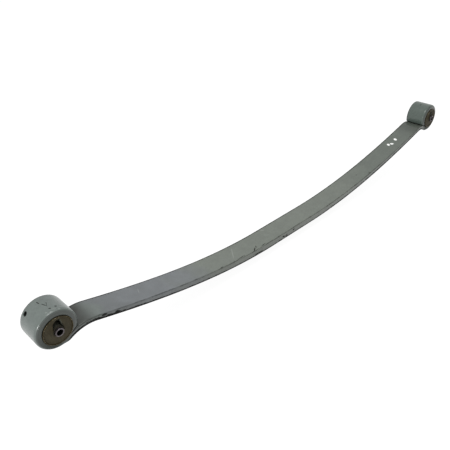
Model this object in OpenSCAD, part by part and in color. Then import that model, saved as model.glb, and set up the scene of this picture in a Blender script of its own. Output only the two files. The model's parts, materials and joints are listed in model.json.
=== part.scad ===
// Single-leaf parabolic spring with upturned eyes and rubber-metal bushes.
//
// The origin is the centre of the front eye. +X runs to the rear eye, +Y along the eye bores
// and +Z up. The leaf hangs below the line between the eyes, as it stands with no load on it.
//
// The real leaf is one bar that bends all along each arm. Here each arm's bending is gathered
// at one flex line, so the bar is three solids: the seat and two arms that turn on it.

/* [Leaf] */
// Width of the spring steel bar
leaf_w = 50; // [40:1:80]
// Thickness of the leaf at its seat
seat_t = 15.5; // [12.5:0.5:20]
// Thickness of the leaf at its ends, which is also the wall of the eyes
eye_t = 10; // [8:0.5:12]
// How late the taper comes: 1 is a straight taper, 2 keeps the leaf thick for longer
taper_power = 1.3; // [1:0.1:2]
// Length of the flat seat that the axle is clamped to
seat_len = 130; // [80:1:200]
// Distance along X from the front eye's centre to the seat
front_arm = 488; // [400:1:620]
// Distance along X from the seat to the rear eye's centre
rear_arm = 512; // [400:1:620]
// Height of the eye centres above the middle of the seat's thickness
camber = 90; // [60:1:120]
// Slope of the leaf where it reaches the bend into its eye, over the arm's mean slope
end_steepness = 1.55; // [1.3:0.05:1.8]

/* [Eyes] */
// Inner diameter of both eyes
eye_bore = 50; // [40:1:60]
// Radius, at mid-thickness, of the reverse bend that leads under the front eye
front_neck_r = 68; // [50:1:90]
// Radius, at mid-thickness, of the reverse bend that leads under the rear eye
rear_neck_r = 44; // [40:1:80]
// Height of the front eye's centre over the line of the leaf that runs up to it
front_eye_rise = 1; // [0:0.5:8]
// Height of the rear eye's centre over the line of the leaf that runs up to it
rear_eye_rise = 4; // [0:0.5:8]
// Gap between the rolled end of the leaf and the leaf
curl_gap = 1; // [0.6:0.1:3]
// Thickness of the chamfered nose that the rolled end finishes in
curl_nose_t = 2; // [1:0.5:4]
// Diameter of the hole through the wall of the front eye
eye_hole_d = 8; // [4:0.5:10]
// Distance from the far side of the leaf to the middle of that hole
eye_hole_inset = 9; // [6:0.5:15]
// Direction of that hole around the eye, counted from +X towards +Z
eye_hole_angle = 138; // [100:1:170]

/* [Bushes] */
// Wall of the thin outer sleeve
outer_sleeve_wall = 1.5; // [1:0.25:3]
// How far the outer sleeve stands out of each side of its eye
outer_sleeve_proud = 2; // [0:0.5:4]
// Outer diameter of the inner sleeve
inner_sleeve_d = 14.5; // [13:0.5:18]
// Bore of the inner sleeve, which is the hole for the bolt
bolt_bore = 10.5; // [8.5:0.5:12.5]
// How far the inner sleeve stands out of each side of its eye
inner_sleeve_proud = 7; // [3:0.5:10]
// How far the rubber lies below the edge of the outer sleeve
rubber_recess = 1; // [0.5:0.5:3]
// How much the rubber's face rises from the outer sleeve to the inner one
rubber_rise = 2; // [0:0.5:3]
// Rubber left around the inner sleeve inside the void
void_skin = 1.2; // [0.8:0.1:3]
// Rubber left between the void's tip and the outer sleeve
void_wall = 3; // [1:0.5:5]
// Direction of the void's tip, counted from +X towards +Z
void_tip_angle = 70; // [60:1:90]
// How far the void's crown stands off the skin around the inner sleeve
void_crown = 11; // [9:0.5:12]
// How far the void's front shoulder stands off that skin
void_front_shoulder = 8; // [5:0.5:9]
// How far the void's rear shoulder stands off that skin
void_rear_shoulder = 3; // [2:0.5:5]
// How far the void's front foot stands off that skin
void_front_foot = 0.4; // [0.3:0.1:3]
// How far the void's rear foot stands off that skin
void_rear_foot = 1.5; // [1:0.5:3]

/* [Flex lines] */
// Distance of each flex line from the seat, as a share of its arm
flex_share = 0.333; // [0.25:0.001:0.5]
// Largest turn at a flex line
flex_max = 14; // [8:1:20]
// Depth of the shoulder between a flex knuckle and the leaf's surfaces
knuckle_step = 0.5; // [0.3:0.1:1]
// Clearance between a flex knuckle and its socket
knuckle_gap = 0.3; // [0.2:0.1:0.5]
// Clearance between the rubber and the inner sleeve that turns in it
sleeve_gap = 0.05; // [0.02:0.01:0.1]

/* [Smoothness] */
// Straight pieces along each arm
arm_steps = 24; // [12:1:40]
// Largest turn of the outline from one point to the next on the bends
bend_step = 5; // [3:0.5:8]

/* [Hidden] */
$fn = 96;
steel_colour = "slategray";
sleeve_colour = "silver";
rim_colour = "darkkhaki";
rubber_colour = "darkolivegreen";
eye_spacing = front_arm + seat_len + rear_arm;
seat_start = front_arm;
seat_end = front_arm + seat_len;
bore_r = eye_bore / 2;
eye_mid_r = bore_r + eye_t / 2;
rubber_r = bore_r - outer_sleeve_wall;
inner_sleeve_r = inner_sleeve_d / 2;
outer_sleeve_len = leaf_w + 2 * outer_sleeve_proud;
inner_sleeve_len = leaf_w + 2 * inner_sleeve_proud;
rubber_edge = outer_sleeve_len / 2 - rubber_recess;
void_skin_r = inner_sleeve_r + void_skin;
// Directions of the void's other corners from its tip, on its front and rear sides
crown_turn = 21;
front_shoulder_turn = 41;
front_foot_turn = 80;
rear_shoulder_turn = 32;
rear_foot_turn = 82;
// How far the outline dips into the eye before the bore is cut true
bore_stock = 1;
// How far a cutter runs past the surface it cuts
over = 1;

// ---- The mid-line of one arm ----
// An arm is worked out in its own plane: u runs from the end of the seat outwards, v up from
// the middle of the seat. It is a list: arm length, neck radius, rise of its eye.
FRONT = [front_arm, front_neck_r, front_eye_rise];
REAR = [rear_arm, rear_neck_r, rear_eye_rise];

function arm_len(arm) = arm[0];
function neck_r(arm) = arm[1];
function eye_rise(arm) = arm[2];

function along(angle) = [cos(angle), sin(angle)];
function across(angle) = [-sin(angle), cos(angle)];

function eye_centre(arm) = [arm_len(arm), camber];
// Slope of the leaf as it reaches the neck
function end_slope(arm) = atan(end_steepness * camber / arm_len(arm));
// Slope, downwards, at which the leaf runs into the ring of its eye
function dive(arm) =
    acos((neck_r(arm) + eye_rise(arm)) / neck_apart(arm)) - end_slope(arm);
function neck_centre(arm) =
    eye_centre(arm) - neck_apart(arm) * across(-dive(arm));
function neck_start(arm) = neck_centre(arm) + neck_r(arm) * across(end_slope(arm));

// Height and slope at share s of the way from the seat to the neck: a cubic that leaves the
// seat level and reaches the neck at its slope
function sweep_height(arm, s) =
    let (end = neck_start(arm), rise = tan(end_slope(arm)) * end[0])
    (3 * end[1] - rise) * s ^ 2 + (rise - 2 * end[1]) * s ^ 3;
function sweep_slope(arm, s) =
    let (end = neck_start(arm), rise = tan(end_slope(arm)) * end[0])
    atan((2 * (3 * end[1] - rise) * s + 3 * (rise - 2 * end[1]) * s ^ 2) / end[0]);
function sweep_t(s) = seat_t - (seat_t - eye_t) * s ^ taper_power;
function sweep_point(arm, s) = [s * neck_start(arm)[0], sweep_height(arm, s)];

// Point on the leaf's surface at share s: side is 1 for the top and -1 for the bottom
function sweep_side(arm, s, side) =
    sweep_point(arm, s) + side * sweep_t(s) / 2 * across(sweep_slope(arm, s));

// Shares of the way along the arm, from one to another
function shares(from, to) =
    let (count = ceil(arm_steps * (to - from)))
    [for (i = [0:count]) from + (to - from) * i / count];

// Angles from one to another in equal steps no larger than bend_step
function angles(from, to) =
    let (count = ceil(abs(to - from) / bend_step))
    [for (i = [0:count]) from + (to - from) * i / count];

// The neck's surface between the sweep and the eye, without its first point
function neck_side(arm, side) =
    let (turn = angles(end_slope(arm), -dive(arm)))
    [for (i = [1:len(turn) - 1])
        neck_centre(arm) + (neck_r(arm) + side * eye_t / 2) * across(turn[i])];

// Distance between the centres of the eye and the neck, and the radius of the neck's top
function neck_apart(arm) = eye_mid_r + neck_r(arm);
function neck_top_r(arm) = neck_r(arm) + eye_t / 2;

// Near the leaf, a direction from the eye's centre is given by its turn from the direction of
// the neck's centre. These give the distance to the neck's top at a turn, and the turn at
// which that distance is reached.
function neck_reach(arm, turn) =
    let (near = neck_apart(arm) * cos(turn))
    near - sqrt(near ^ 2 - neck_apart(arm) ^ 2 + neck_top_r(arm) ^ 2);
function reach_turn(arm, reach) =
    acos((neck_apart(arm) ^ 2 + reach ^ 2 - neck_top_r(arm) ^ 2)
        / (2 * neck_apart(arm) * reach));
// The rolled end starts to thin where its gap to the neck closes, and stops at its nose
function thinning_turn(arm) = reach_turn(arm, bore_r + eye_t + curl_gap);
function nose_turn(arm) = reach_turn(arm, bore_r + curl_nose_t + curl_gap);

function curl_r(arm, turn) =
    turn >= thinning_turn(arm) ? bore_r + eye_t : neck_reach(arm, turn) - curl_gap;

// The eye's outline, rolled from the neck's end round to the nose and back just inside the bore
function eye_outline(arm) =
    let (
        start = -90 - dive(arm),
        full = angles(360, thinning_turn(arm)),
        thinning = angles(thinning_turn(arm), nose_turn(arm)),
        turns = concat(full, [for (i = [1:len(thinning) - 1]) thinning[i]])
    )
    concat(
        [for (turn = turns) eye_centre(arm) + curl_r(arm, turn) * along(start - turn)],
        [for (i = [len(turns) - 1:-1:0])
            eye_centre(arm) + (bore_r - bore_stock) * along(start - turns[i])]
    );

// The arm's outline from share `from` out to the rolled end and back
function arm_outline(arm, from) =
    let (s = shares(from, 1), neck_top = neck_side(arm, 1), neck_bottom = neck_side(arm, -1))
    concat(
        [for (i = s) sweep_side(arm, i, -1)],
        [for (i = [0:len(neck_bottom) - 2]) neck_bottom[i]],
        eye_outline(arm),
        [for (i = [len(neck_top) - 2:-1:0]) neck_top[i]],
        [for (i = [len(s) - 1:-1:0]) sweep_side(arm, s[i], 1)]
    );

// ---- The flex lines ----
function flex_s(arm) = flex_share * arm_len(arm) / neck_start(arm)[0];
function flex_t(arm) = sweep_t(flex_s(arm));
function flex_point(arm) = sweep_point(arm, flex_s(arm));
function flex_slope(arm) = sweep_slope(arm, flex_s(arm));
function knuckle_r(arm) = flex_t(arm) / 2 - knuckle_step;
// How far the seat stops short of the flex line, to leave room for the arm's shoulder
function flex_room(arm) = flex_t(arm) / 2 * sin(flex_max) + knuckle_gap;
// Share of the way along the arm at which the seat stops
function wing_s(arm) =
    flex_s(arm) - flex_room(arm) * cos(flex_slope(arm)) / neck_start(arm)[0];

// ---- Placing ----
// A point of an arm's plane, in the object's own X and Z
function to_front(point) = [seat_start - point[0], point[1] - camber];
function to_rear(point) = [seat_end + point[0], point[1] - camber];

// An outline drawn in the arm's plane, spread over the leaf's width
module plate() {
    rotate([90, 0, 0])
        linear_extrude(leaf_w, center = true)
            children();
}

// Moves what is drawn in an arm's plane to the front arm or to the rear arm
module as_front() {
    translate([seat_start, 0, -camber])
        mirror([1, 0, 0])
            children();
}

module as_rear() {
    translate([seat_end, 0, -camber])
        children();
}

// A cylinder across the leaf at a point of the arm's plane
module cross_cylinder(point, r, length) {
    translate([point[0], 0, point[1]])
        rotate([90, 0, 0])
            cylinder(r = r, h = length, center = true);
}

// A tube along Y, centred on the origin
module tube(outer_r, inner_r, length) {
    rotate([90, 0, 0])
        difference() {
            cylinder(r = outer_r, h = length, center = true);
            cylinder(r = inner_r, h = length + 2 * over, center = true);
        }
}

// Moves what is drawn about the origin to the rear eye
module at_rear_eye() {
    translate([eye_spacing, 0, 0])
        children();
}

// ---- The leaf ----
// Outer part of an arm with its eye, and the knuckle at its flex line
module arm_solid(arm) {
    difference() {
        plate()
            polygon(arm_outline(arm, flex_s(arm)));
        cross_cylinder(eye_centre(arm), bore_r, leaf_w + 2 * over);
    }
    cross_cylinder(flex_point(arm), knuckle_r(arm), leaf_w);
}

// Surface of the seat from the front flex line to the rear one
function seat_side(side) =
    let (front = shares(0, wing_s(FRONT)), rear = shares(0, wing_s(REAR)))
    concat(
        [for (i = [len(front) - 1:-1:0]) to_front(sweep_side(FRONT, front[i], side))],
        [for (s = rear) to_rear(sweep_side(REAR, s, side))]
    );

// The hole through the wall of the front eye
module eye_hole() {
    translate([0, leaf_w / 2 - eye_hole_inset, 0])
        rotate([0, 90 - eye_hole_angle, 0])
            translate([0, 0, bore_r - 2 * over])
                cylinder(d = eye_hole_d, h = eye_t + 4 * over);
}

module leaf_seat() {
    top = seat_side(1);
    color(steel_colour)
        difference() {
            plate()
                polygon(concat(
                    seat_side(-1),
                    [for (i = [len(top) - 1:-1:0]) top[i]]
                ));
            cross_cylinder(to_front(flex_point(FRONT)), knuckle_r(FRONT) + knuckle_gap,
                leaf_w + 2 * over);
            cross_cylinder(to_rear(flex_point(REAR)), knuckle_r(REAR) + knuckle_gap,
                leaf_w + 2 * over);
        }
}

module leaf_front_arm() {
    color(steel_colour)
        difference() {
            as_front()
                arm_solid(FRONT);
            eye_hole();
        }
}

module leaf_rear_arm() {
    color(steel_colour)
        as_rear()
            arm_solid(REAR);
}

// ---- The bushes ----
module outer_sleeve() {
    color(rim_colour)
        tube(bore_r, rubber_r, outer_sleeve_len);
}

// The void beside the inner sleeve, which lets the bush give more in one direction
module void_shape() {
    difference() {
        polygon([
            (void_skin_r + void_rear_foot) * along(void_tip_angle - rear_foot_turn),
            (void_skin_r + void_rear_shoulder) * along(void_tip_angle - rear_shoulder_turn),
            (rubber_r - void_wall) * along(void_tip_angle),
            (void_skin_r + void_crown) * along(void_tip_angle + crown_turn),
            (void_skin_r + void_front_shoulder) * along(void_tip_angle + front_shoulder_turn),
            (void_skin_r + void_front_foot) * along(void_tip_angle + front_foot_turn)
        ]);
        circle(r = void_skin_r);
    }
}

module rubber_bush() {
    inner_r = inner_sleeve_r + sleeve_gap;
    inner_edge = rubber_edge + rubber_rise;
    color(rubber_colour)
        rotate([90, 0, 0])
            difference() {
                rotate_extrude()
                    polygon([
                        [inner_r, -inner_edge],
                        [rubber_r, -rubber_edge],
                        [rubber_r, rubber_edge],
                        [inner_r, inner_edge]
                    ]);
                linear_extrude(inner_sleeve_len, center = true)
                    void_shape();
            }
}

module inner_sleeve() {
    color(sleeve_colour)
        tube(inner_sleeve_r, bolt_bore / 2, inner_sleeve_len);
}

module front_outer_sleeve() {
    outer_sleeve();
}

module front_rubber_bush() {
    rubber_bush();
}

module front_inner_sleeve() {
    inner_sleeve();
}

module rear_outer_sleeve() {
    at_rear_eye()
        outer_sleeve();
}

module rear_rubber_bush() {
    at_rear_eye()
        rubber_bush();
}

module rear_inner_sleeve() {
    at_rear_eye()
        inner_sleeve();
}

leaf_seat();
leaf_front_arm();
leaf_rear_arm();
front_outer_sleeve();
front_rubber_bush();
front_inner_sleeve();
rear_outer_sleeve();
rear_rubber_bush();
rear_inner_sleeve();
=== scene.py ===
import json
import math
from collections import namedtuple

import bmesh
import bpy
from mathutils import Matrix, Vector


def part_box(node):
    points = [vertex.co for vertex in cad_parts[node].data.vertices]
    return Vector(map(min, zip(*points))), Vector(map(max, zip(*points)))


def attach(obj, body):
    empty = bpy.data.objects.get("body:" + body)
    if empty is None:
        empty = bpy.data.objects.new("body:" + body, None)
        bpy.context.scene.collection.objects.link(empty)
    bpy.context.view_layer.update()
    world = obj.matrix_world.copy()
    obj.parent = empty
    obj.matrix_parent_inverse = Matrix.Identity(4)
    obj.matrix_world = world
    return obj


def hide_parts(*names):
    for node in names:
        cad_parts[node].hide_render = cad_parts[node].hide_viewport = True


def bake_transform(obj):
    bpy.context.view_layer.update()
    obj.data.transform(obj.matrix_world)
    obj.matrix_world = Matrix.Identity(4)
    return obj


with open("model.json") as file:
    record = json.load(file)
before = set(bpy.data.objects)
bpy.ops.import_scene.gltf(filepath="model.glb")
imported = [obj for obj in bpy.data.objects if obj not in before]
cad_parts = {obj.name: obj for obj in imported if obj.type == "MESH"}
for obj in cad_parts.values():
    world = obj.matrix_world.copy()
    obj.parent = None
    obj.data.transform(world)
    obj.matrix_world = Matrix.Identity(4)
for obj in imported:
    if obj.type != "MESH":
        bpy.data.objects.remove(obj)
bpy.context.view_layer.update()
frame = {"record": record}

# Looks for a single-leaf spring. The bar is drawn as two halves that meet unseen in the middle
# of the seat. Everything is in metres.

MM = 0.001

# ---- Sizes from the frame ----
mounts = {m["name"]: Vector(m["pos_m"]) for m in frame["record"]["mounts"]}
bolt_r = frame["record"]["mounts"][0]["dims"]["r_mm"] * MM
front_eye = mounts["front_eye_bore"]
rear_eye = mounts["rear_eye_bore"]
seat_mid = (mounts["seat_top"] + mounts["seat_bottom"]) / 2
seat_t = mounts["seat_top"].z - mounts["seat_bottom"].z
camber = front_eye.z - seat_mid.z
half_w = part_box("leaf_seat")[1].y
bore_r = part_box("front_outer_sleeve")[1].z
eye_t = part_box("leaf_front_arm")[1].z - bore_r
eye_mid_r = bore_r + eye_t / 2
outer_sleeve_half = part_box("front_outer_sleeve")[1].y
rubber_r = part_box("front_rubber_bush")[1].z
rubber_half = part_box("front_rubber_bush")[1].y
inner_sleeve_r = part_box("front_inner_sleeve")[1].z
inner_sleeve_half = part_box("front_inner_sleeve")[1].y

# ---- Design values of the bar that the frame doesn't hold ----
SEAT_LEN = 130 * MM
TAPER_POWER = 1.3
END_STEEPNESS = 1.55
CURL_GAP = 1 * MM
CURL_NOSE_T = 2 * MM
NECK_R = {"front": 68 * MM, "rear": 44 * MM}
EYE_RISE = {"front": 1 * MM, "rear": 4 * MM}
EYE_HOLE_R = 4 * MM
EYE_HOLE_INSET = 9 * MM
EYE_HOLE_ANGLE = math.radians(138)
# The hole's outer edge is broken: its mouth is this much wider, down to this depth
EYE_HOLE_MOUTH = 1.12
EYE_HOLE_CHAMFER = 0.4 * MM

# Edge radii of the bar: along the arms, round the outside of the eyes and along their bores
ARM_EDGE_R = 1.8 * MM
EYE_EDGE_R = 4.2 * MM
BORE_EDGE_R = 0.8 * MM
# How much further the near rims of the eyes are rounded over than the far ones
NEAR_RIM_ROUNDING = 2.0
# The eyes' edge radii grow in over this turn, and stay within these shares of the wall
EDGE_GROWTH = math.radians(25)
BORE_EDGE_SHARE = 0.3
EYE_EDGE_SHARE = 0.4
NOSE_EDGE_SHARE = 0.5

# Steps between stations: along the arms, and round the necks and the eyes
ARM_STEP = 5 * MM
TURN_STEP = math.radians(3)
NOSE_TURNS = (30, 60, 80)  # degrees

# ---- The bar ----
# A station is one cut across the bar: its distance along the bar from the middle of the seat,
# the middle of its thickness and its upward normal in the arm's plane (u outwards, v up), the
# thickness above and below the mid-line, and the edge radii above and below.
Station = namedtuple("Station", "s mid normal above below edge_above edge_below")


def along(angle):
    return Vector((math.cos(angle), math.sin(angle)))


def across(angle):
    return Vector((-math.sin(angle), math.cos(angle)))


def spread(low, high, step):
    """Values from low to high in equal steps no larger than step."""
    count = max(1, math.ceil(abs(high - low) / step - 1e-9))
    return [low + (high - low) * i / count for i in range(count + 1)]


def smooth(x):
    """Eases from 0 at 0 to 1 at 1."""
    x = min(1.0, max(0.0, x))
    return x * x * (3 - 2 * x)


def shown(name, data):
    """A new object in the scene with this mesh, light or camera."""
    made = bpy.data.objects.new(name, data)
    bpy.context.scene.collection.objects.link(made)
    return made


class Arm:
    """One half of the bar, from the middle of the seat to the rolled end."""

    def __init__(self, side, eye):
        self.side = side
        self.sign = -1 if side == "front" else 1
        self.seat_end_x = seat_mid.x + self.sign * SEAT_LEN / 2
        self.length = abs(eye.x - self.seat_end_x)
        self.eye = Vector((self.length, camber))
        self.neck_r = NECK_R[side]
        self.end_slope = math.atan(END_STEEPNESS * camber / self.length)
        self.apart = eye_mid_r + self.neck_r
        self.dive = math.acos((self.neck_r + EYE_RISE[side]) / self.apart) - self.end_slope
        self.neck_centre = self.eye - self.apart * across(-self.dive)
        self.neck_start = self.neck_centre + self.neck_r * across(self.end_slope)

    def point(self, flat, y):
        """A point of the arm's plane at y across the bar, in the row frame."""
        return Vector((self.seat_end_x + self.sign * flat.x, y, seat_mid.z + flat.y))

    def reach_turn(self, reach):
        """How far round the eye from the neck's centre the neck's top is at this distance."""
        top_r = self.neck_r + eye_t / 2
        return math.acos((self.apart**2 + reach**2 - top_r**2) / (2 * self.apart * reach))

    def curl_r(self, turn):
        """Outer radius of the eye: its rolled end keeps a gap to the neck."""
        if turn >= self.reach_turn(bore_r + eye_t + CURL_GAP):
            return bore_r + eye_t
        near = self.apart * math.cos(turn)
        top_r = self.neck_r + eye_t / 2
        return near - math.sqrt(near**2 - self.apart**2 + top_r**2) - CURL_GAP

    def sweep(self, share, s):
        """Station on the tapered arm, at a share of the way from the seat to the neck."""
        end = self.neck_start
        rise = math.tan(self.end_slope) * end.x
        # a cubic that leaves the seat level and meets the neck's start in height and slope
        square = 3 * end.y - rise
        cube = rise - 2 * end.y
        height = square * share**2 + cube * share**3
        slope = math.atan((2 * square * share + 3 * cube * share**2) / end.x)
        half_t = (seat_t - (seat_t - eye_t) * share**TAPER_POWER) / 2
        mid = Vector((share * end.x, height))
        return Station(s, mid, across(slope), half_t, half_t, ARM_EDGE_R, ARM_EDGE_R)

    def eye_station(self, turn, s):
        """Station on the eye. The turn is 2 pi where the neck ends, and falls to the nose."""
        out = along(-math.pi / 2 - self.dive - turn)
        below = self.curl_r(turn) - eye_mid_r
        grown = smooth((2 * math.pi - turn) / EDGE_GROWTH)
        edge_above = ARM_EDGE_R + (BORE_EDGE_R - ARM_EDGE_R) * grown
        edge_below = ARM_EDGE_R + (EYE_EDGE_R - ARM_EDGE_R) * grown
        thick = eye_t / 2 + below
        return Station(
            s, self.eye + eye_mid_r * out, -out, eye_t / 2, below,
            min(edge_above, thick * BORE_EDGE_SHARE), min(edge_below, thick * EYE_EDGE_SHARE),
        )

    def stations(self):
        """Every station from the middle of the seat to the rolled end's nose."""
        made = []
        for u in spread(-SEAT_LEN / 2, 0, ARM_STEP)[:-1]:
            made.append(Station(u + SEAT_LEN / 2, Vector((u, 0)), Vector((0, 1)),
                                seat_t / 2, seat_t / 2, ARM_EDGE_R, ARM_EDGE_R))
        s = SEAT_LEN / 2
        last = Vector((0, 0))
        for share in spread(0, 1, ARM_STEP / self.neck_start.x):
            station = self.sweep(share, s)
            s += (station.mid - last).length
            last = station.mid
            made.append(station._replace(s=s))
        for angle in spread(self.end_slope, -self.dive, TURN_STEP)[1:-1]:
            mid = self.neck_centre + self.neck_r * across(angle)
            s += (mid - last).length
            last = mid
            made.append(Station(s, mid, across(angle), eye_t / 2, eye_t / 2,
                                ARM_EDGE_R, ARM_EDGE_R))
        self.eye_s = s + self.neck_r * TURN_STEP
        nose = self.reach_turn(bore_r + CURL_NOSE_T + CURL_GAP)
        for turn in spread(2 * math.pi, nose, TURN_STEP):
            made.append(self.eye_station(turn, self.turn_s(turn)))
        return made

    def turn_s(self, turn):
        """Distance along the bar of a turn round the eye."""
        return self.eye_s + (2 * math.pi - turn) * eye_mid_r


ARMS = {"front": Arm("front", front_eye), "rear": Arm("rear", rear_eye)}

# Columns of a section: over each flat face, over each side face, and round each edge
FLAT_COLUMNS = 16
SIDE_COLUMNS = 4
EDGE_COLUMNS = 5
# A narrow row beside each rounded edge keeps the flat faces' shading flat
HOLD = 0.7 * MM
HOLD_SHARE = 0.2
TURNED_HOLD = 0.25 * MM
# Half the window of grid cells that the hole takes, along and across the bar
HOLE_ROWS = 3
HOLE_COLUMNS = 2
# Points nearer than this are one point
TOUCHING = 1e-7


def edge_arc(centre, radius, start):
    """Points of a quarter turn from start, without its last one."""
    steps = [start + math.pi / 2 * i / EDGE_COLUMNS for i in range(EDGE_COLUMNS)]
    return [centre + radius * along(a) for a in steps]


def held_line(a, b, columns):
    """Points from a to b, without b: a narrow row at each end and equal columns between."""
    way = (b - a).normalized()
    hold = min(HOLD, (b - a).length * HOLD_SHARE)
    inner_a = a + way * hold
    inner_b = b - way * hold
    return [a] + [inner_a.lerp(inner_b, i / columns) for i in range(columns + 1)]


def section(station):
    """(y, t) points round the bar: the lower face towards +y, up, and back over the top."""
    low, high = station.edge_below, station.edge_above
    near_low = ARM_EDGE_R + (low - ARM_EDGE_R) * NEAR_RIM_ROUNDING
    corners = [
        (Vector((half_w - low, -station.below + low)), low, -math.pi / 2),
        (Vector((half_w - high, station.above - high)), high, 0.0),
        (Vector((-half_w + high, station.above - high)), high, math.pi / 2),
        (Vector((-half_w + near_low, -station.below + near_low)), near_low, math.pi),
    ]
    columns = [SIDE_COLUMNS, FLAT_COLUMNS, SIDE_COLUMNS, FLAT_COLUMNS]
    points = []
    for i, (centre, radius, start) in enumerate(corners):
        points += edge_arc(centre, radius, start)
        end = centre + radius * along(start + math.pi / 2)
        after, after_r, after_start = corners[(i + 1) % 4]
        points += held_line(end, after + after_r * along(after_start), columns[i])
    return points


class Skin:
    """Vertices and faces of a mesh, with each vertex's place along, across and through the bar."""

    def __init__(self):
        self.points = []
        self.places = []
        self.depths = []
        self.faces = []
        self.sharp = set()

    def add(self, arm, station, y, t):
        self.points.append(arm.point(station.mid + station.normal * t, y))
        self.places.append(Vector((arm.sign * station.s, y, t)))
        self.depths.append(Vector((half_w - abs(y), station.above - t, t + station.below)))
        return len(self.points) - 1

    def make(self, name):
        mesh = bpy.data.meshes.new(name)
        mesh.from_pydata(self.points, [], self.faces)
        place = mesh.attributes.new("bar", "FLOAT_VECTOR", "POINT")
        place.data.foreach_set("vector", [x for p in self.places for x in p])
        depth = mesh.attributes.new("rim", "FLOAT_VECTOR", "POINT")
        depth.data.foreach_set("vector", [x for p in self.depths for x in p])
        work = bmesh.new()
        work.from_mesh(mesh)
        bmesh.ops.recalc_face_normals(work, faces=work.faces)
        for face in work.faces:
            face.smooth = len(face.verts) <= 4
        for edge in work.edges:
            if any(len(f.verts) > 4 for f in edge.link_faces):
                edge.smooth = False
            if frozenset(v.index for v in edge.verts) in self.sharp:
                edge.smooth = False
        work.to_mesh(mesh)
        work.free()
        return shown(name, mesh)


def bar_half(arm, name):
    """The skin of one half of the bar, closed at the middle of the seat and at its nose."""
    skin = Skin()
    stations = arm.stations()
    stations += nose_stations(stations[-1])
    rings = []
    for station in stations:
        rings.append([skin.add(arm, station, p.x, p.y) for p in section(station)])
    count = len(rings[0])
    holes = eye_hole(arm, skin, stations, rings) if arm.side == "front" else set()
    for i in range(len(rings) - 1):
        for j in range(count):
            if (i, j) not in holes:
                k = (j + 1) % count
                skin.faces.append((rings[i][j], rings[i][k], rings[i + 1][k], rings[i + 1][j]))
    skin.faces.append(tuple(reversed(rings[0])))
    skin.faces.append(tuple(rings[-1]))
    return skin.make(name)


def nose_stations(last):
    """Stations that round off the rolled end."""
    half_t = (last.above + last.below) / 2
    centre = (last.above - last.below) / 2
    tangent = Vector((last.normal.y, -last.normal.x))
    made = []
    for angle in NOSE_TURNS:
        reach = half_t * math.sin(math.radians(angle))
        kept = half_t * math.cos(math.radians(angle))
        edge = kept * NOSE_EDGE_SHARE
        made.append(Station(last.s + reach, last.mid + tangent * reach, last.normal,
                            centre + kept, kept - centre, edge, edge))
    return made


def eye_hole(arm, skin, stations, rings):
    """Cuts the round hole through the front eye's wall. Returns the grid cells it takes."""
    flat_angle = math.pi - EYE_HOLE_ANGLE
    turn = (-math.pi / 2 - arm.dive - flat_angle) % (2 * math.pi)
    hole_s = arm.turn_s(turn)
    hole_y = half_w - EYE_HOLE_INSET
    nearest = min(range(len(stations)), key=lambda i: abs(stations[i].s - hole_s))
    rows = range(nearest - HOLE_ROWS, nearest + HOLE_ROWS)
    outline = section(stations[nearest])
    outside = -stations[nearest].below
    bore = stations[nearest].above
    taken = set()
    mouths = []
    for level, circles in (
        (outside, ((outside, EYE_HOLE_MOUTH), (outside + EYE_HOLE_CHAMFER, 1.0))),
        (bore, ((bore, 1.0),)),
    ):
        wall_r = eye_mid_r - level
        on_face = [j for j, p in enumerate(outline) if abs(p.y - level) < TOUCHING]
        middle = min(on_face, key=lambda j: abs(outline[j].x - hole_y))
        columns = range(middle - HOLE_COLUMNS, middle + HOLE_COLUMNS)
        taken |= {(i, j) for i in rows for j in columns}
        border = border_of(rings, rows, columns)
        loop = border
        for depth, grown in circles:
            circle = []
            for vertex in border:
                place = skin.places[vertex]
                way = Vector(((abs(place.x) - hole_s) * wall_r / eye_mid_r, place.y - hole_y))
                way = way.normalized() * EYE_HOLE_R * grown
                at_turn = turn - way.x / wall_r
                station = arm.eye_station(at_turn, arm.turn_s(at_turn))
                circle.append(skin.add(arm, station, hole_y + way.y, depth))
            skin.sharp |= {frozenset((a, b)) for a, b in zip(circle, circle[1:] + circle[:1])}
            join_loops(skin, loop, circle)
            loop = circle
        mouths.append(loop)
    join_walls(skin, *mouths)
    return taken


def border_of(rings, rows, columns):
    """Vertices round a window of the grid, in order."""
    low_i, high_i = rows[0], rows[-1] + 1
    low_j, high_j = columns[0], columns[-1] + 1
    loop = [(low_i, j) for j in range(low_j, high_j)]
    loop += [(i, high_j) for i in range(low_i, high_i)]
    loop += [(high_i, j) for j in range(high_j, low_j, -1)]
    loop += [(i, low_j) for i in range(high_i, low_i, -1)]
    return [rings[i][j] for i, j in loop]


def join_loops(skin, outer, inner):
    count = len(outer)
    for k in range(count):
        m = (k + 1) % count
        skin.faces.append((outer[k], outer[m], inner[m], inner[k]))


def join_walls(skin, outer, inner):
    """Joins two circles that run in opposite orders or start apart, by their nearest points."""
    start = min(range(len(inner)),
                key=lambda k: (skin.points[inner[k]] - skin.points[outer[0]]).length)
    ahead = inner[(start + 1) % len(inner)]
    behind = inner[start - 1]
    target = skin.points[outer[1]]
    forward = (skin.points[ahead] - target).length < (skin.points[behind] - target).length
    step = 1 if forward else -1
    ordered = [inner[(start + step * k) % len(inner)] for k in range(len(inner))]
    join_loops(skin, outer, ordered)


# ---- Turned pieces ----

def rounded_outline(corners, radii, hold):
    """A closed outline of (radius, y) with each corner rounded and a point held beside it."""
    points = []
    for i, corner in enumerate(corners):
        back = (corners[i - 1] - corner).normalized()
        on = (corners[(i + 1) % len(corners)] - corner).normalized()
        half = back.angle(on) / 2
        reach = radii[i] / math.tan(half)
        centre = corner + (back + on).normalized() * radii[i] / math.sin(half)
        start = corner + back * reach - centre
        end = corner + on * reach - centre
        points.append(centre + start + back * hold)
        for k in range(EDGE_COLUMNS + 1):
            points.append(centre + start.slerp(end, k / EDGE_COLUMNS) * radii[i])
        points.append(centre + end + on * hold)
    return points


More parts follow.
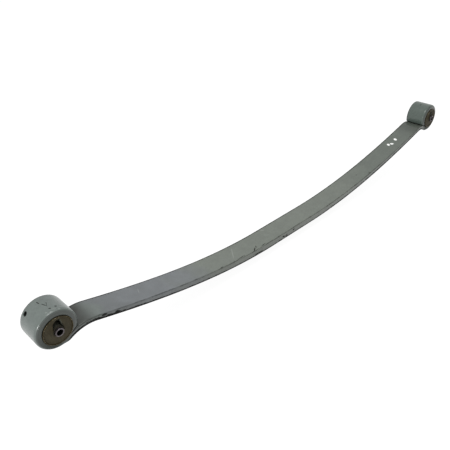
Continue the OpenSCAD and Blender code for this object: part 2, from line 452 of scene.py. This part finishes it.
def closed_mesh(name, points, faces, centre):
    """A smooth closed mesh about an eye's centre, that keeps its own coordinates."""
    mesh = bpy.data.meshes.new(name)
    mesh.from_pydata([Vector(p) + centre for p in points], [], faces)
    own = mesh.attributes.new("own", "FLOAT_VECTOR", "POINT")
    own.data.foreach_set("vector", [x for p in points for x in p])
    work = bmesh.new()
    work.from_mesh(mesh)
    bmesh.ops.remove_doubles(work, verts=work.verts, dist=TOUCHING)
    bmesh.ops.dissolve_degenerate(work, edges=work.edges, dist=TOUCHING / 10)
    bmesh.ops.recalc_face_normals(work, faces=work.faces)
    for face in work.faces:
        face.smooth = True
    work.to_mesh(mesh)
    work.free()
    return shown(name, mesh)


TURN_STEPS = 96
# Edge radii of the sleeves, outside and along the bore
OUTER_SLEEVE_EDGES = (0.5 * MM, 0.4 * MM)
INNER_SLEEVE_EDGES = (0.6 * MM, 0.5 * MM)


def turned(name, outline, centre):
    """A closed outline of (radius, y) turned about the eye's axis."""
    count = len(outline)
    points = []
    for i in range(TURN_STEPS):
        way = along(2 * math.pi * i / TURN_STEPS)
        points += [(way.x * p.x, p.y, way.y * p.x) for p in outline]
    faces = []
    for i in range(TURN_STEPS):
        for j in range(count):
            a, b = i * count, (i + 1) % TURN_STEPS * count
            k = (j + 1) % count
            faces.append((a + j, a + k, b + k, b + j))
    return closed_mesh(name, points, faces, centre)


def tube(name, inner_r, outer_r, half_length, edges, centre):
    """A sleeve about an eye's centre."""
    edge_r, bore_edge_r = edges
    corners = [
        Vector((inner_r, -half_length)), Vector((outer_r, -half_length)),
        Vector((outer_r, half_length)), Vector((inner_r, half_length)),
    ]
    radii = [bore_edge_r, edge_r, edge_r, bore_edge_r]
    return turned(name, rounded_outline(corners, radii, TURNED_HOLD), centre)


# The rubber's face: how far it lies inside the outer sleeve, how fast it rises to the inner one,
# and the fillet that it climbs at the outer one, from this share of the way
RUBBER_RECESS = 1 * MM
RUBBER_RISE_POWER = 1.6
RUBBER_FILLET = 0.35 * MM
RUBBER_FILLET_FROM = 0.9
RUBBER_COLUMNS = 9
RUBBER_STEP = 2  # degrees
# The void: the skin of rubber left on the inner sleeve, the wall left towards the outer one, and
# how far out from the skin its corners lie, from the front foot over the crown to the rear foot
VOID_SKIN = 1.2 * MM
VOID_WALL = 3 * MM
VOID_CROWN = 11 * MM
VOID_FRONT_SHOULDER = 8 * MM
VOID_REAR_SHOULDER = 3 * MM
VOID_FRONT_FOOT = 0.4 * MM
VOID_REAR_FOOT = 1.5 * MM
VOID_LIP = 0.7 * MM
VOID_LIP_TURNS = [math.radians(a) for a in (0, 25, 50, 75, 90)]
VOID_BLUR = (-4, -2, 0, 2, 4)  # degrees


def void_outline():
    """The void's far wall as (angle in degrees, radius) corners round the inner sleeve."""
    skin_r = inner_sleeve_r + VOID_SKIN
    return [
        (-12, skin_r + VOID_REAR_FOOT), (38, skin_r + VOID_REAR_SHOULDER),
        (70, rubber_r - VOID_WALL), (91, skin_r + VOID_CROWN),
        (111, skin_r + VOID_FRONT_SHOULDER), (150, skin_r + VOID_FRONT_FOOT),
    ]


def void_reach(angle):
    """How far out the void goes at an angle in degrees, with its corners rounded off."""
    return sum(void_line(angle + shift) for shift in VOID_BLUR) / len(VOID_BLUR)


def void_line(angle):
    """How far out the void's straight-sided outline is at an angle in degrees."""
    corners = void_outline()
    skin_r = inner_sleeve_r + VOID_SKIN
    angle = (angle + 90) % 360 - 90
    if not corners[0][0] < angle < corners[-1][0]:
        return skin_r
    for (a0, r0), (a1, r1) in zip(corners, corners[1:]):
        if a0 <= angle <= a1:
            low = along(math.radians(a0)) * r0
            high = along(math.radians(a1)) * r1
            way = along(math.radians(angle))
            step = high - low
            return low.cross(step) / way.cross(step)
    return skin_r


def rubber_face(radius):
    """Half the rubber's width: it rises to the inner sleeve and a little to the outer one."""
    share = (radius - inner_sleeve_r) / (rubber_r - inner_sleeve_r)
    edge_half = outer_sleeve_half - RUBBER_RECESS
    rise = (rubber_half - edge_half) * (1 - share)**RUBBER_RISE_POWER
    fillet = RUBBER_FILLET * smooth((share - RUBBER_FILLET_FROM) / (1 - RUBBER_FILLET_FROM))
    return edge_half + rise + fillet


def bush_row(reach):
    """(radius, depth below the rubber's face) from the inner sleeve to the void, and on from it."""
    skin_r = inner_sleeve_r + VOID_SKIN
    lip = min(VOID_LIP, (reach - skin_r) / 2)
    skin_lip = min(lip, VOID_SKIN / 2)
    inner = [(inner_sleeve_r, 0.0)]
    for turn in reversed(VOID_LIP_TURNS):
        inner.append((skin_r - skin_lip * (1 - math.cos(turn)), skin_lip * (1 - math.sin(turn))))
    outer = [(reach + lip * (1 - math.cos(turn)), lip * (1 - math.sin(turn)))
             for turn in VOID_LIP_TURNS]
    start = reach + lip
    outer += [(start + (rubber_r - start) * k / RUBBER_COLUMNS, 0.0)
              for k in range(1, RUBBER_COLUMNS + 1)]
    return inner, outer


def rubber_bush(name, centre):
    """The rubber between the two sleeves, with its void right through it."""
    angles = spread(-90, 270, RUBBER_STEP)[:-1]
    points = []
    open_at = []
    for angle in angles:
        reach = void_reach(angle)
        open_at.append(reach > inner_sleeve_r + VOID_SKIN + TOUCHING)
        inner, outer = bush_row(reach)
        way = along(math.radians(angle))
        for side in (1, -1):
            for radius, drop in inner + outer:
                y = side * (rubber_face(radius) - drop)
                points.append((way.x * radius, y, way.y * radius))
    count = len(inner + outer)
    void_edge = len(inner)
    faces = []
    for i in range(len(angles)):
        after = (i + 1) % len(angles)
        a, b = i * 2 * count, after * 2 * count
        for side in (0, count):
            for j in range(count - 1):
                if j != void_edge - 1:
                    faces.append((a + side + j, a + side + j + 1, b + side + j + 1, b + side + j))
        walls = [0, count - 1]
        if open_at[i] or open_at[after]:
            walls += [void_edge - 1, void_edge]
        for j in walls:
            faces.append((a + j, b + j, b + count + j, a + count + j))
    return closed_mesh(name, points, faces, centre)


# ---- Materials ----

class Surface:
    """A node material being made. Each call adds a node and returns its output."""

    def __init__(self, name):
        self.material = bpy.data.materials.new(name)
        self.material.use_nodes = True
        self.tree = self.material.node_tree
        self.shader = self.tree.nodes["Principled BSDF"]

    def node(self, kind, inputs, **settings):
        made = self.tree.nodes.new(kind)
        for key, value in settings.items():
            setattr(made, key, value)
        for key, value in inputs.items():
            self.put(made.inputs[key], value)
        return made

    def put(self, socket, value):
        if isinstance(value, bpy.types.NodeSocket):
            self.tree.links.new(value, socket)
        else:
            socket.default_value = value

    def attribute(self, name):
        return self.node("ShaderNodeAttribute", {}, attribute_name=name).outputs["Vector"]

    def parts(self, vector):
        return self.node("ShaderNodeSeparateXYZ", {0: vector}).outputs[:3]

    def joined(self, x, y, z):
        return self.node("ShaderNodeCombineXYZ", {0: x, 1: y, 2: z}).outputs[0]

    def math(self, operation, *values):
        inputs = dict(enumerate(values))
        return self.node("ShaderNodeMath", inputs, operation=operation).outputs[0]

    def product(self, value, *others):
        for other in others:
            value = self.math("MULTIPLY", value, other)
        return value

    def least(self, value, *others):
        for other in others:
            value = self.math("MINIMUM", value, other)
        return value

    def most(self, value, *others):
        for other in others:
            value = self.math("MAXIMUM", value, other)
        return value

    def length(self, vector):
        return self.node("ShaderNodeVectorMath", {0: vector}, operation="LENGTH").outputs["Value"]

    def stretched(self, vector, scale):
        inputs = {0: vector, 1: scale}
        return self.node("ShaderNodeVectorMath", inputs, operation="MULTIPLY").outputs[0]

    def noise(self, vector, scale, detail=2.0, roughness=0.5):
        inputs = {"Vector": vector, "Scale": scale, "Detail": detail, "Roughness": roughness}
        return self.node("ShaderNodeTexNoise", inputs).outputs[0]

    def ramp(self, value, low, high, to_low=0.0, to_high=1.0):
        """Eases from to_low at low to to_high at high."""
        inputs = {"Value": value, "From Min": low, "From Max": high,
                  "To Min": to_low, "To Max": to_high}
        made = self.node("ShaderNodeMapRange", inputs, interpolation_type="SMOOTHSTEP")
        return made.outputs[0]

    def mix(self, share, a, b):
        made = self.node("ShaderNodeMix", {}, data_type="RGBA")
        colour_in = [s for s in made.inputs if s.type == "RGBA"]
        self.put(made.inputs[0], share)
        self.put(colour_in[0], a)
        self.put(colour_in[1], b)
        return [s for s in made.outputs if s.type == "RGBA"][0]

    def scaled(self, colour, value):
        """A colour times a value."""
        inputs = {0: colour, "Scale": value}
        return self.node("ShaderNodeVectorMath", inputs, operation="SCALE").outputs[0]

    def bump(self, height, distance, strength=1.0, after=None):
        inputs = {"Height": height, "Distance": distance, "Strength": strength}
        if after is not None:
            inputs["Normal"] = after
        return self.node("ShaderNodeBump", inputs).outputs[0]

    def set(self, **values):
        """Sets or links sockets of the shader, named with _ for a space."""
        for key, value in values.items():
            self.put(self.shader.inputs[key.replace("_", " ")], value)


def rgb(red, green, blue):
    return (red, green, blue, 1.0)


# A mark on the paint: the face it is on, its distance along the bar from the middle of the seat
# (the front half is negative) and across it, its turn in degrees, its half-length and half-width,
# all in mm. Across is y on the top and on the underside, which is the outside of the eyes, and the
# depth below the top on the near side.
Mark = namedtuple("Mark", "face s across turn long wide")
# How far into the bar a mark reaches, so that it shows on its own face only
MARK_DEPTH = 1.5 * MM

DARK_MARKS = [
    # the front eye
    Mark("under", -652.3, 11, 81, 3.4, 0.7),
    Mark("under", -656, 0, 72, 6, 0.6),
    Mark("under", -659, -1, 109, 5, 0.35),
    Mark("under", -658, -13, 55, 1.8, 1.0),
    Mark("under", -666, -13, 30, 1.8, 1.2),
    Mark("under", -653, 24, 0, 5, 1.4),
    Mark("under", -654, -24, 10, 2.5, 1.2),
    Mark("under", -632, -23.5, 0, 1.5, 0.8),
    # chips along the near edge
    Mark("side", -482, 2.5, 0, 5.5, 2.2),
    Mark("side", -457, 5, 10, 5, 2.6),
    Mark("side", -474, 9, 4, 6, 1.4),
    Mark("side", -445, 8, 0, 8, 1.2),
    Mark("side", -396, 11, 0, 4, 1.8),
    Mark("side", -30, 8.5, 30, 4.5, 2.0),
    Mark("side", -21, 8.8, 150, 4.0, 1.6),
    Mark("side", 3, 5.6, 0, 2.6, 2.2),
    Mark("side", -110, 10, 0, 12, 1.5),
    Mark("side", 442, 7, 0, 3.5, 2.0),
    # scratches and spots on the top
    Mark("top", -118, -20.5, 35, 7, 1.0),
    Mark("top", -109, -16, 60, 4, 0.9),
    Mark("top", -92, -21.5, 5, 8, 0.9),
    Mark("top", -158, -22, 4, 10, 0.7),
    Mark("top", 275, -2, 20, 2, 0.8),
    Mark("top", 302, -22, 0, 3, 0.8),
    Mark("top", -215, -23, 8, 4, 0.7),
    # the shadowed crack where the rear curl meets the bar
    Mark("top", 555.0, 0, 0, 1.8, 40),
    Mark("under", 738, 0, 0, 1.3, 40),
    # the rear eye
    Mark("under", 690, 1.5, 40, 1.8, 1.3),
    Mark("under", 689, -22, 80, 1.4, 0.9),
    Mark("under", 700, 24, 0, 6, 1.1),
]
PALE_MARKS = [
    # painted highlights along the near rim of the front eye
    Mark("under", -651, -17, 20, 1.5, 1.1),
    Mark("under", -655.5, -21, 70, 1.2, 0.9),
    Mark("under", -667, -21, 0, 1.8, 0.9),
    Mark("under", -661, -18, 40, 3.0, 0.7),
    # scratches and streaks on the top
    Mark("top", -164, -2, 52, 19, 0.9),
    Mark("top", -54, 16, 155, 5, 1.2),
    Mark("top", -60, -3, 140, 9, 0.5),
    Mark("top", -395, 3, 65, 7, 0.6),
]
# Two blots of white paint and a third beside them
WHITE_MARKS = [
    Mark("top", 431, 4, 60, 5.0, 3.2),
    Mark("top", 439, -1, 120, 4.6, 3.0),
    Mark("top", 460, 1.5, 70, 5.4, 3.4),
]


# The paint's tones along the bar: where each takes over from the one before, in metres from
# the middle of the seat, and its colour
PAINT_TONES = [
    (-0.80, -0.75, rgb(0.100, 0.119, 0.110)),
    (-0.56, -0.50, rgb(0.093, 0.103, 0.107)),
    (-0.46, -0.38, rgb(0.110, 0.121, 0.128)),
    (-0.34, -0.18, rgb(0.112, 0.127, 0.107)),
    (0.16, 0.42, rgb(0.084, 0.099, 0.083)),
    (0.53, 0.60, rgb(0.068, 0.088, 0.076)),
]
# painted shade and dirt on the side faces of the bar
FLANK_SHADE_AND_DIRT = rgb(0.035, 0.037, 0.032)
# painted shade on the side faces of the eyes
EYE_FACE_SHADE = rgb(0.026, 0.031, 0.027)
# painted shade and grime in the hollow between each neck and its eye
CROOK_SHADE_AND_GRIME = rgb(0.022, 0.021, 0.017)
# bare steel where the paint is lost, also used for painted shade along the corners, in the eye's
# hole and in the curl's crack
BARE_STEEL_AND_SHADE = rgb(0.008, 0.008, 0.007)
# pale scratches, and painted highlights on the front eye's rim
PALE_SCRATCH_AND_HIGHLIGHT = rgb(0.33, 0.35, 0.33)
WHITE_PAINT = rgb(0.85, 0.86, 0.84)


class LeafPaint(Surface):
    """The bar's paint, with the places on the bar and the noises that its layers share."""

    def __init__(self):
        super().__init__("leaf_paint")
        self.bar = self.attribute("bar")
        self.s, self.y, _ = self.parts(self.bar)
        self.from_side, self.from_top, self.from_under = self.parts(self.attribute("rim"))
        self.along_bar = self.math("ABSOLUTE", self.s)
        self.on_eye = self.ramp(self.along_bar, 0.535, 0.575)
        self.off_eye = self.math("SUBTRACT", 1.0, self.on_eye)
        self.far_side = self.ramp(self.y, 0.0, 5 * MM)
        self.patches = self.noise(self.bar, 60.0, 3.0)
        self.mottle = self.noise(self.bar, 190.0, 3.0, 0.6)
        self.wear_noise = self.noise(self.stretched(self.bar, (0.35, 1.0, 1.0)), 240.0, 4.0, 0.65)
        self.ragged = self.math("MULTIPLY_ADD", self.mottle, 1.4, -0.7)
        near_side = self.math("ADD", self.y, half_w)
        self.faces = {
            "top": self.joined(self.s, self.y, self.from_top),
            "under": self.joined(self.s, self.y, self.from_under),
            "side": self.joined(self.s, self.from_top, near_side),
        }

    def clean_tone(self):
        """The paint's colour, which changes along the bar, darker towards the rear, and is mottled.
        """
        clouds = self.noise(self.bar, 11.0, 3.0)
        grain = self.noise(self.bar, 700.0, 2.0)
        shift = self.math("MULTIPLY_ADD", clouds, 0.4, self.math("SUBTRACT", self.s, 0.2))
        tone = PAINT_TONES[0][2]
        for low_s, high_s, next_tone in PAINT_TONES[1:]:
            tone = self.mix(self.ramp(shift, low_s, high_s), tone, next_tone)
        tone = self.scaled(tone, self.ramp(self.patches, 0.25, 0.75, 0.93, 1.07))
        tone = self.scaled(tone, self.ramp(self.mottle, 0.25, 0.75, 0.94, 1.06))
        return self.scaled(tone, self.ramp(grain, 0.3, 0.7, 0.95, 1.05))

    def side_shade_and_dirt(self):
        """Painted shade and patchy dirt on the two side faces."""
        flank = self.ramp(self.from_side, 2.0 * MM, 0.3 * MM)
        return self.product(flank, self.ramp(self.mottle, 0.3, 0.7, 0.24, 0.46))

    def eye_face_shade(self):
        """Painted shade on the side faces of the eyes, most of all below."""
        return self.product(
            self.on_eye,
            self.ramp(self.from_side, 2.6 * MM, 0.4 * MM),
            self.ramp(self.along_bar, 0.56, 0.64, 1.0, 0.78),
        )

    def crook(self):
        """Painted shade and grime in the hollow between each neck and its eye, less of it at the
        rear.
        """
        return self.product(
            self.ramp(self.along_bar, 0.485, 0.522),
            self.ramp(self.along_bar, 0.575, 0.555),
            self.ramp(self.from_top, 4 * MM, 1 * MM),
            self.ramp(self.patches, 0.2, 0.8, 0.65, 1.0),
            self.ramp(self.s, 0.0, 0.1, 1.0, 0.45),
        )

    def top_wear_and_shade(self):
        """Wear and painted shade along the upper corners: broken on the near one, wider and whole
        on the far one.
        """
        corner = self.most(self.from_side, self.from_top)
        width = self.ramp(self.wear_noise, 0.30, 0.72, 0.7 * MM, 2.0 * MM)
        width = self.math("MULTIPLY_ADD", self.far_side, 1.8 * MM, width)
        wear = self.ramp(self.math("SUBTRACT", corner, width), 0.5 * MM, -0.2 * MM)
        broken = self.ramp(self.wear_noise, 0.45, 0.62, 0.12, 0.6)
        return self.product(wear, self.off_eye, self.most(broken, self.far_side))

    def under_edge_shade(self):
        """Painted shade along the lower corners, ragged like wear, wider towards the eyes and
        narrow on them.
        """
        corner = self.most(self.from_side, self.from_under)
        width = self.product(
            self.ramp(self.wear_noise, 0.30, 0.70, 2.6 * MM, 4.6 * MM),
            self.ramp(self.s, -0.50, -0.36, 1.5, 1.0),
            self.ramp(self.s, 0.05, 0.35, 1.0, 1.4),
            self.ramp(self.along_bar, 0.53, 0.58, 1.0, 0.5),
        )
        wear = self.ramp(self.math("SUBTRACT", corner, width), 1.3 * MM, -1.0 * MM)
        return self.product(wear, self.most(self.off_eye, self.far_side))

    def buried_shade(self):
        """Painted shade on the wall of the hole in the front eye, which is deep below every face of
        the bar.
        """
        depth = self.least(self.from_side, self.from_top, self.from_under)
        return self.ramp(depth, 1.2 * MM, 2.2 * MM, 0.0, 0.9)

    def marked(self, marks, wobble):
        """1 inside any of the marks and 0 outside, with edges made ragged by wobble."""
        covered = 0.0
        for mark in marks:
            where = (mark.s * MM, mark.across * MM, 0.0)
            size = (mark.long * MM, mark.wide * MM, MARK_DEPTH)
            inputs = {"Vector": self.faces[mark.face], "Location": where,
                      "Rotation": (0, 0, math.radians(mark.turn)), "Scale": size}
            placed = self.node("ShaderNodeMapping", inputs, vector_type="TEXTURE").outputs[0]
            reach = self.math("ADD", self.length(placed), wobble)
            covered = self.most(covered, self.ramp(reach, 1.15, 0.8))
        return covered


def leaf_paint():
    paint = LeafPaint()
    eye_face_shade = paint.eye_face_shade()
    crook = paint.crook()
    top_wear_and_shade = paint.top_wear_and_shade()
    under_edge_shade = paint.under_edge_shade()
    dark = paint.marked(DARK_MARKS, paint.ragged)
    pale = paint.marked(PALE_MARKS, paint.ragged)
    white = paint.marked(WHITE_MARKS, paint.product(paint.ragged, 0.5))
    tone = paint.clean_tone()
    for share, colour in (
        (paint.side_shade_and_dirt(), FLANK_SHADE_AND_DIRT),
        (eye_face_shade, EYE_FACE_SHADE),
        (crook, CROOK_SHADE_AND_GRIME),
        (paint.product(top_wear_and_shade, 0.72), BARE_STEEL_AND_SHADE),
        (paint.product(under_edge_shade, 0.95), BARE_STEEL_AND_SHADE),
        (paint.buried_shade(), BARE_STEEL_AND_SHADE),
        (paint.product(pale, 0.3), PALE_SCRATCH_AND_HIGHLIGHT),
        (paint.product(dark, 0.9), BARE_STEEL_AND_SHADE),
        (white, WHITE_PAINT),
    ):
        tone = paint.mix(share, tone, colour)

    # the surface ripples like orange peel, and sinks where the paint is lost and where painted
    # shade runs along the edges
    lost_or_shaded = paint.most(dark, top_wear_and_shade, under_edge_shade)
    normal = paint.bump(paint.patches, 0.25 * MM)
    normal = paint.bump(paint.noise(paint.bar, 520.0, 2.0), 0.05 * MM, after=normal)
    normal = paint.bump(lost_or_shaded, -0.12 * MM, after=normal)

    # it is matt where the paint is lost or painted shade runs along the edges, in the crooks and on
    # the lower part of the eyes' faces
    low_face = paint.product(eye_face_shade, paint.ramp(paint.along_bar, 0.58, 0.64, 0.72, 0.0))
    matt = paint.most(lost_or_shaded, paint.product(crook, 0.6), low_face)
    gloss = paint.ramp(paint.mottle, 0.25, 0.75, 0.32, 0.46)
    paint.set(Base_Color=tone, Normal=normal,
              Roughness=paint.most(gloss, paint.product(matt, 0.85)),
              Specular_IOR_Level=paint.ramp(matt, 0.0, 1.0, 0.35, 0.08),
              Coat_Weight=paint.ramp(matt, 0.0, 1.0, 0.4, 0.0), Coat_Roughness=0.12)
    return paint.material


PASSIVATED = rgb(0.075, 0.060, 0.032)
PASSIVATED_STAIN = rgb(0.035, 0.028, 0.016)
PASSIVATED_SPECK = rgb(0.20, 0.18, 0.13)
TURNED_STEEL = rgb(0.15, 0.138, 0.145)
TURNED_STAIN = rgb(0.085, 0.072, 0.075)
# painted shade deep in the inner sleeve's bore
BORE_SHADE = rgb(0.02, 0.018, 0.016)
RUBBER = rgb(0.028, 0.022, 0.010)
RUBBER_BLOOM = rgb(0.036, 0.031, 0.018)
RUBBER_SPECK = rgb(0.07, 0.065, 0.05)
# painted light on the rubber inside the voids
VOID_PAINTED_LIGHT = rgb(0.135, 0.139, 0.110)
# painted shade on the rubber round the inner sleeve
COLLAR_SHADE = rgb(0.012, 0.011, 0.008)


class BushSurface(Surface):
    """A material for a piece of a bush, with its places about the eye's axis."""

    def __init__(self, name):
        super().__init__(name)
        self.own = self.attribute("own")
        x, self.y, z = self.parts(self.own)
        self.radius = self.length(self.joined(x, 0.0, z))

    def lathe_marks(self, scale, detail):
        """Fine rings left by turning, on the ends and along the barrel alike."""
        return self.noise(self.joined(self.math("ADD", self.radius, self.y), 0.0, 0.0),
                          scale, detail)


def passivated_steel():
    steel = BushSurface("outer_sleeve_steel")
    stain = steel.noise(steel.own, 170.0, 4.0, 0.6)
    specks = steel.noise(steel.own, 620.0, 3.0)
    tone = steel.mix(steel.ramp(stain, 0.3, 0.7), PASSIVATED, PASSIVATED_STAIN)
    tone = steel.mix(steel.ramp(specks, 0.55, 0.75), tone, PASSIVATED_SPECK)
    steel.set(Base_Color=tone, Metallic=1.0,
              Normal=steel.bump(steel.lathe_marks(5200.0, 2.0), 0.02 * MM),
              Roughness=steel.ramp(stain, 0.3, 0.7, 0.30, 0.50))
    return steel.material


def turned_steel():
    steel = BushSurface("inner_sleeve_steel")
    rings = steel.lathe_marks(4200.0, 3.0)
    stain = steel.noise(steel.own, 260.0, 4.0, 0.6)
    tone = steel.mix(steel.ramp(stain, 0.35, 0.7), TURNED_STEEL, TURNED_STAIN)
    tone = steel.scaled(tone, steel.ramp(rings, 0.3, 0.7, 0.9, 1.08))
    # painted shade, darker deeper in the bore
    in_bore = steel.ramp(steel.radius, bolt_r + 0.5 * MM, bolt_r + 0.1 * MM)
    depth = steel.ramp(steel.math("ABSOLUTE", steel.y), inner_sleeve_half, inner_sleeve_half * 0.8)
    tone = steel.mix(steel.product(in_bore, depth), tone, BORE_SHADE)
    steel.set(Base_Color=tone, Metallic=1.0, Normal=steel.bump(rings, 0.03 * MM),
              Roughness=steel.ramp(stain, 0.3, 0.7, 0.28, 0.45))
    return steel.material


def olive_rubber():
    rubber = BushSurface("bush_rubber")
    clouds = rubber.noise(rubber.own, 75.0, 3.0)
    flow = rubber.noise(rubber.stretched(rubber.own, (1.0, 1.0, 0.35)), 420.0, 4.0, 0.6)
    rings = rubber.noise(rubber.joined(rubber.radius, 0.0, 0.0), 1500.0, 2.0)
    specks = rubber.noise(rubber.own, 1500.0, 2.0)
    tone = rubber.mix(rubber.ramp(clouds, 0.35, 0.65), RUBBER, RUBBER_BLOOM)
    tone = rubber.scaled(tone, rubber.ramp(flow, 0.3, 0.7, 0.85, 1.15))
    tone = rubber.scaled(tone, rubber.ramp(rings, 0.3, 0.7, 0.95, 1.05))
    tone = rubber.mix(rubber.ramp(specks, 0.62, 0.75, 0.0, 0.5), tone, RUBBER_SPECK)
    # painted light: rubber deeper than the face is made much paler, lightening the void's shade
    void_light = rubber.ramp(rubber.math("ABSOLUTE", rubber.y),
                          outer_sleeve_half - 1.1 * MM, outer_sleeve_half - 1.8 * MM)
    tone = rubber.mix(void_light, tone, VOID_PAINTED_LIGHT)
    # painted shade on the rubber close round the inner sleeve
    collar_shade = rubber.ramp(rubber.radius, inner_sleeve_r + 2.0 * MM, inner_sleeve_r + 1.3 * MM,
                         0.0, 0.75)
    tone = rubber.mix(collar_shade, tone, COLLAR_SHADE)
    normal = rubber.bump(rings, 0.06 * MM)
    normal = rubber.bump(flow, 0.08 * MM, after=normal)
    normal = rubber.bump(specks, 0.03 * MM, after=normal)
    rubber.set(Base_Color=tone, Normal=normal, Specular_IOR_Level=0.14,
               Roughness=rubber.ramp(clouds, 0.3, 0.7, 0.55, 0.72))
    return rubber.material


def pale_floor():
    floor = Surface("pale_floor")
    floor.set(Base_Color=rgb(0.15, 0.15, 0.15), Roughness=1.0, Specular_IOR_Level=0.0,
              Emission_Color=rgb(1.0, 1.0, 1.0), Emission_Strength=0.9)
    return floor.material


# ---- The pieces ----
paint = leaf_paint()
for side, body in (("front", "front_arm"), ("rear", "rear_arm")):
    half = bar_half(ARMS[side], "leaf_" + side)
    half.data.materials.append(paint)
    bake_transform(half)
    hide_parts("leaf_" + body)
    if side == "front":
        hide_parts("leaf_seat")

finishes = {
    "outer_sleeve": (passivated_steel(), "outer_sleeve_steel"),
    "rubber_bush": (olive_rubber(), "bush_rubber"),
    "inner_sleeve": (turned_steel(), "inner_sleeve_steel"),
}
for side, eye in (("front", front_eye), ("rear", rear_eye)):
    made = {
        "outer_sleeve": tube(side + "_outer_shell", rubber_r, bore_r, outer_sleeve_half,
                             OUTER_SLEEVE_EDGES, eye),
        "rubber_bush": rubber_bush(side + "_rubber", eye),
        "inner_sleeve": tube(side + "_bolt_tube", bolt_r, inner_sleeve_r, inner_sleeve_half,
                             INNER_SLEEVE_EDGES, eye),
    }
    for part, piece in made.items():
        material, slot = finishes[part]
        piece.data.materials.append(material)
        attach(piece, side + ("_sleeve" if part == "inner_sleeve" else "_arm"))
        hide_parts(side + "_" + part)

# ---- Floor, light and camera ----
# The floor is a little below the seat, so that the eyes clear it when both arms are pressed down
FLOOR_DROP = 20 * MM
FLOOR_HALF = 30.0
WORLD_STRENGTH = 0.88

floor_z = mounts["seat_bottom"].z - FLOOR_DROP
floor_mesh = bpy.data.meshes.new("floor")
floor_corners = [(-1, -1), (1, -1), (1, 1), (-1, 1)]
floor_mesh.from_pydata(
    [(seat_mid.x + FLOOR_HALF * x, FLOOR_HALF * y, floor_z) for x, y in floor_corners],
    [], [(0, 1, 2, 3)])
floor_mesh.materials.append(pale_floor())
floor = shown("floor", floor_mesh)

world = bpy.data.worlds.new("studio")
world.use_nodes = True
world.node_tree.nodes["Background"].inputs["Color"].default_value = rgb(1.0, 1.0, 1.0)
world.node_tree.nodes["Background"].inputs["Strength"].default_value = WORLD_STRENGTH
bpy.context.scene.world = world


def soft_light(name, at, towards, size, power):
    """A square lamp: its size in metres and its power in watts."""
    light = bpy.data.lights.new(name, "AREA")
    light.shape = "SQUARE"
    light.size = size
    light.energy = power
    made = shown(name, light)
    made.location = at
    made.rotation_euler = (towards - Vector(at)).to_track_quat("-Z", "Y").to_euler()


soft_light("overhead", at=(0.1, -0.1, 2.0), towards=Vector((0.4, 0, 0)), size=1.0, power=17)
soft_light("near_left", at=(-1.0, -0.35, 0.32), towards=front_eye, size=0.25, power=4.5)

# Angles in degrees, the lens and its sensor in millimetres
CAMERA_AT = (-0.2166, -0.6114, 0.5533)
CAMERA_HEADING = 43.93
CAMERA_DOWN = 33.15
CAMERA_ROLL = -1.29
CAMERA_LENS = 42.28
CAMERA_SENSOR = 36
CAMERA_NEAR = 10 * MM
camera_data = bpy.data.cameras.new("camera")
camera_data.sensor_width = CAMERA_SENSOR
camera_data.lens = CAMERA_LENS
camera_data.clip_start = CAMERA_NEAR
camera = shown("camera", camera_data)
camera.matrix_world = (
    Matrix.Translation(CAMERA_AT)
    @ Matrix.Rotation(math.radians(-CAMERA_HEADING), 4, "Z")
    @ Matrix.Rotation(math.radians(90 - CAMERA_DOWN), 4, "X")
    @ Matrix.Rotation(math.radians(CAMERA_ROLL), 4, "Z")
)
bpy.context.scene.camera = camera
bpy.context.scene.view_settings.view_transform = "Standard"
